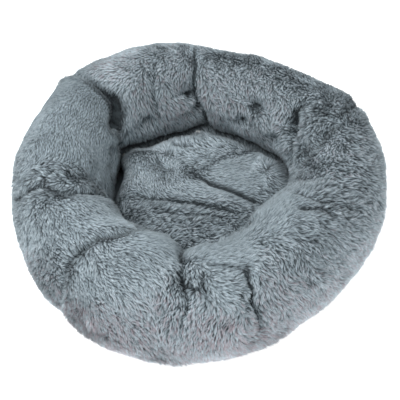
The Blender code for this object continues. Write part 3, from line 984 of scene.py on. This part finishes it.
for panel in range(PANELS):
    cloth = panel_part(covered, panel)
    skin = grid_mesh("skin", cloth[::2, ::2], False, False)
    case = add_piece(f"bolster_cover_{panel + 1}", skin, backing, "bed_body", [panel_nodes[panel]])
    thicken(case, BACKING_THICKNESS)
    facts = [panel_part(field, panel) for field in fields]
    facts = [fact.reshape(-1, *fact.shape[2:]) for fact in facts]
    under_pile = grid_mesh("cloth", cloth, False, False)
    grow_pile(f"bolster_pile_{panel + 1}", under_pile, *facts, seed=100 + panel, body="bed_body")

# ---------------------------------------------------------------------------
# Loose pad.
# A puffy cushion that fills the nest: fur fabric above, lining cloth below, hollow fibre inside.
# Stuffing presses its cover out, and the cover folds where the pad is pushed down into the nest.
# ---------------------------------------------------------------------------

PAD_STITCH = 0.005  # size of the quads that the pad's cover is built from
PAD_SWELL = 0.005  # most that the stuffing moves the cover
PAD_FULLNESS = 0.28  # below 1, the pad's crown is flatter and its edge fuller
PAD_RAISED = 0.26  # share by which the loose crown stands above its pressed height
PAD_INSET = 0.003  # the cover lies this far inside the tips of its pressed pile
PAD_EASED = (-0.010, 0.022)  # how far the pad's edge may be drawn in or stretched out to the wall
PAD_DEEPEST = 0.012
# from this depth on a pad crease is bare in its bottom and fully painted with shade there
PAD_FULLY_DARK = 0.008
PAD_CASE_DEPTH = 0.003  # the filling lies this far inside the cover
PAD_SHOULDER = 0.052  # height at which the pad's full edge meets the wall
PAD_CLEARANCE = 0.001
PAD_LUMPS = ((0.0022, 0.035, 81), (0.0010, 0.015, 82))
PAD_SHADE = (0.05, 0.04, 91)
PAD_CALM_EDGE = 0.010  # creases and lumps fade out this near to the edge seam
PAD_WEDGES = 36  # wedges in which the pad's own reach is measured
PAD_EDGE_LEVEL = (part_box("pad_top")[0].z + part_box("pad_underside")[1].z) / 2
PAD_LINING_THICKNESS = 0.0012
STUFFING_PRESSURE = 4.0
STUFFING_FRAMES = 20
STUFFING_STEPS = 6  # solver steps to a frame

PAD_CREASES = (  # plan points in millimetres from the middle of the ring, depth, left and right width
    (((-16, 50), (-8, 42), (15, 23), (40, 11), (75, -5), (92, -14)), 0.008, 0.006, 0.010),
    (((-66, 62), (-50, 54), (-32, 54)), 0.005, 0.006, 0.006),
    (((-38, 92), (-22, 87), (-5, 89)), 0.005, 0.006, 0.006),
    (((-92, 6), (-60, 0), (-38, -4), (4, -10), (30, -20), (60, -32)), 0.009, 0.005, 0.016),
    (((-60, -22), (-30, -30), (10, -30), (40, -38)), 0.005, 0.006, 0.008),
    (((-50, 30), (-46, 50), (-60, 75)), 0.003, 0.010, 0.010),
    (((-6, 42), (-4, 60), (6, 72)), 0.003, 0.008, 0.008),
)
# the same columns as STROKED, with plan points in millimetres; the tones are partly painted light and shade
# set patch by patch
PAD_STROKED = (
    ((-70, 40), 0.030, -85, 0.0074, 0.0028, 0.12, 0.62),
    ((-45, 25), 0.028, -80, 0.0074, 0.0029, 0.15, 0.62),
    ((-58, 100), 0.022, 100, 0.0070, 0.0033, 0.25, 0.66),
    ((-70, 72), 0.015, -95, 0.0063, 0.0045, 0.55, 0.54),
    ((-15, 108), 0.025, 70, 0.0060, 0.0046, 0.65, 0.60),
    ((30, 95), 0.022, -150, 0.0060, 0.0046, 0.60, 0.58),
    ((0, 65), 0.018, -160, 0.0063, 0.0042, 0.45, 0.58),
    ((-8, 43), 0.012, -60, 0.0049, 0.0055, 0.95, 0.44),
    ((35, 36), 0.026, -8, 0.0074, 0.0029, 0.25, 0.56),
    ((62, 30), 0.024, -12, 0.0074, 0.0031, 0.28, 0.54),
    ((0, 10), 0.022, -20, 0.0070, 0.0033, 0.30, 0.58),
    ((93, 60), 0.010, 90, 0.0063, 0.0042, 0.40, 0.58),
    ((106, 47), 0.010, 0, 0.0063, 0.0042, 0.40, 0.58),
    ((93, 33), 0.010, -90, 0.0063, 0.0042, 0.40, 0.58),
    ((80, 47), 0.010, 180, 0.0063, 0.0042, 0.40, 0.62),
    ((-80, -12), 0.022, -20, 0.0056, 0.0053, 0.85, 0.56),
    ((-40, -18), 0.022, -15, 0.0060, 0.0050, 0.75, 0.58),
    ((0, -28), 0.022, -10, 0.0060, 0.0050, 0.80, 0.58),
    ((45, -38), 0.025, -25, 0.0060, 0.0050, 0.80, 0.58),
    ((0, -70), 0.035, -10, 0.0060, 0.0050, 0.80, 0.56),
    ((85, 0), 0.020, -30, 0.0063, 0.0045, 0.55, 0.52),
)


def press_out(mesh, most):
    """Where a cover's points go when stuffing presses on it from inside."""
    before = np.array([v.co for v in mesh.vertices])
    cover = bpy.data.objects.new("cover", mesh)
    bpy.context.scene.collection.objects.link(cover)
    cloth = cover.modifiers.new("stuffing", "CLOTH")
    cloth.settings.quality = STUFFING_STEPS
    cloth.settings.use_pressure = True
    cloth.settings.uniform_pressure_force = STUFFING_PRESSURE
    cloth.settings.effector_weights.gravity = 0
    cloth.point_cache.frame_start = 1
    cloth.point_cache.frame_end = STUFFING_FRAMES
    for number in range(1, STUFFING_FRAMES + 1):
        bpy.context.scene.frame_set(number)
    pressed = cover.evaluated_get(bpy.context.evaluated_depsgraph_get())
    after = np.array([v.co for v in pressed.data.vertices])
    bpy.data.objects.remove(cover)
    bpy.context.scene.frame_set(1)
    move = after - before
    far = np.linalg.norm(move, axis=1, keepdims=True)
    return before + move * np.minimum(1, most / np.maximum(far, 1e-9))


def normals_of(mesh):
    return read_out(mesh.vertex_normals, "vector")


def through(mesh, kind, **settings):
    """The mesh after this modifier, as a new plain mesh."""

    def dress(carrier):
        made = carrier.modifiers.new(kind, kind)
        for name, value in settings.items():
            setattr(made, name, value)

    return finished(mesh, dress)


def moved(mesh, points):
    mesh.vertices.foreach_set("co", np.asarray(points, np.float32).reshape(-1))
    mesh.update()
    return mesh


pad_form = plain_mesh("pad_form", *joined_faces(["pad_top", "pad_underside", "pad_filling"]))
pad_form = through(pad_form, "REMESH", mode="VOXEL", voxel_size=PAD_STITCH)
pad_points = points_of_mesh(pad_form)
crown = pad_points[:, 2].max() - PAD_EDGE_LEVEL
height = np.clip((pad_points[:, 2] - PAD_EDGE_LEVEL) / crown, 0, 1)
pad_points[:, 2] += (height**PAD_FULLNESS - height) * crown
pad_points[:, 2] += PAD_RAISED * height**PAD_FULLNESS * crown

# the pad's edge is stuffed out to the wall of the nest, and into its creases
wall_rows = [row for row in range(ALL_ROWS) if 90 < degrees(angles[row]) < 230]
wall_points = form[:, wall_rows]
wall_reach = np.hypot(wall_points[..., 0] - middle[0], wall_points[..., 1] - middle[1])
at_pad = np.abs(wall_points[..., 2] - PAD_SHOULDER).argmin(1)
nest_reach = wall_reach[np.arange(len(azimuths)), at_pad] - PAD_CLEARANCE
nest_reach = soften(nest_reach[:, None], 6, (0,))[:, 0]
plan = pad_points[:, :2] - middle
turn_of = np.arctan2(plan[:, 1], plan[:, 0]) % (2 * pi)
far_out = np.hypot(plan[:, 0], plan[:, 1])
bins = np.linspace(0, 2 * pi, PAD_WEDGES + 1)
which = np.digitize(turn_of, bins) - 1
pad_reach = np.array([far_out[which == wedge].max() for wedge in range(PAD_WEDGES)])
pad_reach = soften(pad_reach[:, None], 2, (0,))[:, 0]
centres = (bins[1:] + bins[:-1]) / 2
own_reach = np.interp(turn_of, centres, pad_reach, period=2 * pi)
wanted = np.interp(turn_of, azimuths % (2 * pi), nest_reach, period=2 * pi)
eased = np.clip(wanted - own_reach, *PAD_EASED) * (far_out / own_reach) ** 3
eased = eased * np.clip(0.6 + 2 * height, 0, 1)
pad_points[:, :2] += plan / np.maximum(far_out, 1e-6)[:, None] * eased[:, None]
pad_cover = through(moved(pad_form, pad_points), "REMESH", mode="VOXEL", voxel_size=PAD_STITCH)
pad_cover = moved(pad_cover, points_of_mesh(pad_cover) - normals_of(pad_cover) * PAD_INSET)
pad_cover = moved(pad_cover, press_out(pad_cover, PAD_SWELL))
pad_cover = through(pad_cover, "SUBSURF", levels=1, render_levels=1)
cover_points, cover_out = points_of_mesh(pad_cover), normals_of(pad_cover)
pad_faces = [face.vertices[:] for face in pad_cover.polygons]
pad_surface = BVHTree.FromPolygons([Vector(point) for point in cover_points], pad_faces)


def on_pad(x, y):
    """The point of the pad's upper face over this plan point, given in millimetres."""
    start = Vector((middle[0] + x / 1000, middle[1] + y / 1000, 0.3))
    hit = pad_surface.ray_cast(start, Vector((0, 0, -1)))
    return np.array(hit[0] if hit[0] else (start.x, start.y, PAD_EDGE_LEVEL))


pad_drawn, pad_creased, pad_pull = lay_creases(
    PAD_CREASES, cover_points, cover_out, on_pad, 50, 0, PAD_FULLY_DARK
)
lumps = blotches(cover_points, *PAD_LUMPS)
on_top = np.clip((cover_points[:, 2] - PAD_EDGE_LEVEL) / PAD_CALM_EDGE, 0, 1)
move = (lumps - np.minimum(pad_drawn, PAD_DEEPEST)) * on_top
pad_cover = moved(pad_cover, cover_points + cover_out * move[:, None])
set_attribute(pad_cover, "creased", "FLOAT", pad_creased)
set_attribute(pad_cover, "crease_pull", "FLOAT_VECTOR", pad_pull)

# the cover is cut apart at its edge seam
halves = {}
for half, side in (("top", 1), ("underside", -1)):
    shell = bmesh.new()
    shell.from_mesh(pad_cover)
    bmesh.ops.bisect_plane(
        shell, geom=shell.verts[:] + shell.edges[:] + shell.faces[:], plane_co=(0, 0, PAD_EDGE_LEVEL),
        plane_no=(0, 0, side), clear_inner=True,
    )
    mesh = bpy.data.meshes.new("pad_" + half)
    shell.to_mesh(mesh)
    shell.free()
    mesh.shade_smooth()
    halves[half] = mesh

edge = [v.co for v in halves["top"].vertices if abs(v.co.z - PAD_EDGE_LEVEL) < 1e-5]
edge = np.array(sorted(edge, key=lambda co: atan2(co.y - middle[1], co.x - middle[0])))
thread_run("pad_edge_stitches", edge[::2], True, "loose_pad", "pad_seam_thread")

wool = moved(pad_cover.copy(), points_of_mesh(pad_cover) - normals_of(pad_cover) * PAD_CASE_DEPTH)
pad_filling = add_piece("pad_wool", wool, hollow_fibre, "loose_pad", ["pad_filling"])
pad_lining = add_piece(
    "pad_lining", halves["underside"], lining_cloth, "loose_pad", ["pad_underside"]
)
thicken(pad_lining, PAD_LINING_THICKNESS)
pad_case = add_piece("pad_cover", halves["top"].copy(), backing, "loose_pad", ["pad_top"])
thicken(pad_case, BACKING_THICKNESS)

cloth = halves["top"]
at_points, out_of = points_of_mesh(cloth), normals_of(cloth)
sideways = unit(np.array([1.0, 0, 0]) - out_of * out_of[:, :1])
backwards = unit(np.array([0, 1.0, 0]) - out_of * out_of[:, 1:2])
nap, reach_out, rise, tousle, tone = stroked_field(at_points, sideways, backwards, PAD_STROKED, on_pad)
sunk = read_out(cloth.attributes["creased"].data, "value", 1)[:, 0]
pull = read_out(cloth.attributes["crease_pull"].data, "vector")
tone = tone + blotches(at_points, PAD_SHADE)
nap, rise, tone = creased_pile(nap, reach_out, rise, tone, pull, sunk)
grow_pile("pad_pile", cloth, nap, rise, tousle, tone, seed=300, body="loose_pad")

# ---------------------------------------------------------------------------
# Floor, light and camera.
# A bright white floor under a white sky, one softbox high at the left, and a long lens from the front.
# ---------------------------------------------------------------------------

FLOOR_REACH = 6.0
FLOOR_GLOW = 0.7
SKY_STRENGTH = 0.95
corners = [(x * FLOOR_REACH, y * FLOOR_REACH, 0) for x, y in ((-1, -1), (1, -1), (1, 1), (-1, 1))]
floor = bpy.data.objects.new("floor", plain_mesh("floor", corners, [(0, 1, 2, 3)]))
bpy.context.scene.collection.objects.link(floor)
floor_paint, tree, shader = new_material("floor_paint", 0.9)
shader.inputs["Base Color"].default_value = (0.92, 0.92, 0.92, 1)
shader.inputs["Emission Color"].default_value = (1, 1, 1, 1)
shader.inputs["Emission Strength"].default_value = FLOOR_GLOW
put_material(floor, floor_paint)

world = bpy.data.worlds.new("studio")
bpy.context.scene.world = world
world.use_nodes = True
world.node_tree.nodes["Background"].inputs["Color"].default_value = (1, 1, 1, 1)
world.node_tree.nodes["Background"].inputs["Strength"].default_value = SKY_STRENGTH

KEY_PLACE = (-0.8, -0.6, 2.1)
KEY_SIZE = 1.3
KEY_POWER = 38
lamp = bpy.data.lights.new("softbox", "AREA")
lamp.energy = KEY_POWER
lamp.size = KEY_SIZE
softbox = bpy.data.objects.new("softbox", lamp)
softbox.location = KEY_PLACE
softbox.rotation_euler = Vector(KEY_PLACE).to_track_quat("Z", "Y").to_euler()
bpy.context.scene.collection.objects.link(softbox)

CAMERA_DISTANCE = 1.3
CAMERA_ELEVATION = radians(50)
CAMERA_LENS = 88.5
SENSOR_WIDTH = 36
AIM_ABOVE = 0.0556
AIM_RIGHT = 0.0013
lens = bpy.data.cameras.new("camera")
lens.lens = CAMERA_LENS
lens.sensor_width = SENSOR_WIDTH
camera = bpy.data.objects.new("camera", lens)
aim = Vector((middle[0] + AIM_RIGHT, middle[1], AIM_ABOVE))
back = Vector((0, -cos(CAMERA_ELEVATION), sin(CAMERA_ELEVATION)))
camera.location = aim + back * CAMERA_DISTANCE
camera.rotation_euler = back.to_track_quat("Z", "Y").to_euler()
bpy.context.scene.collection.objects.link(camera)
bpy.context.scene.camera = camera
bpy.context.scene.view_settings.view_transform = "Standard"
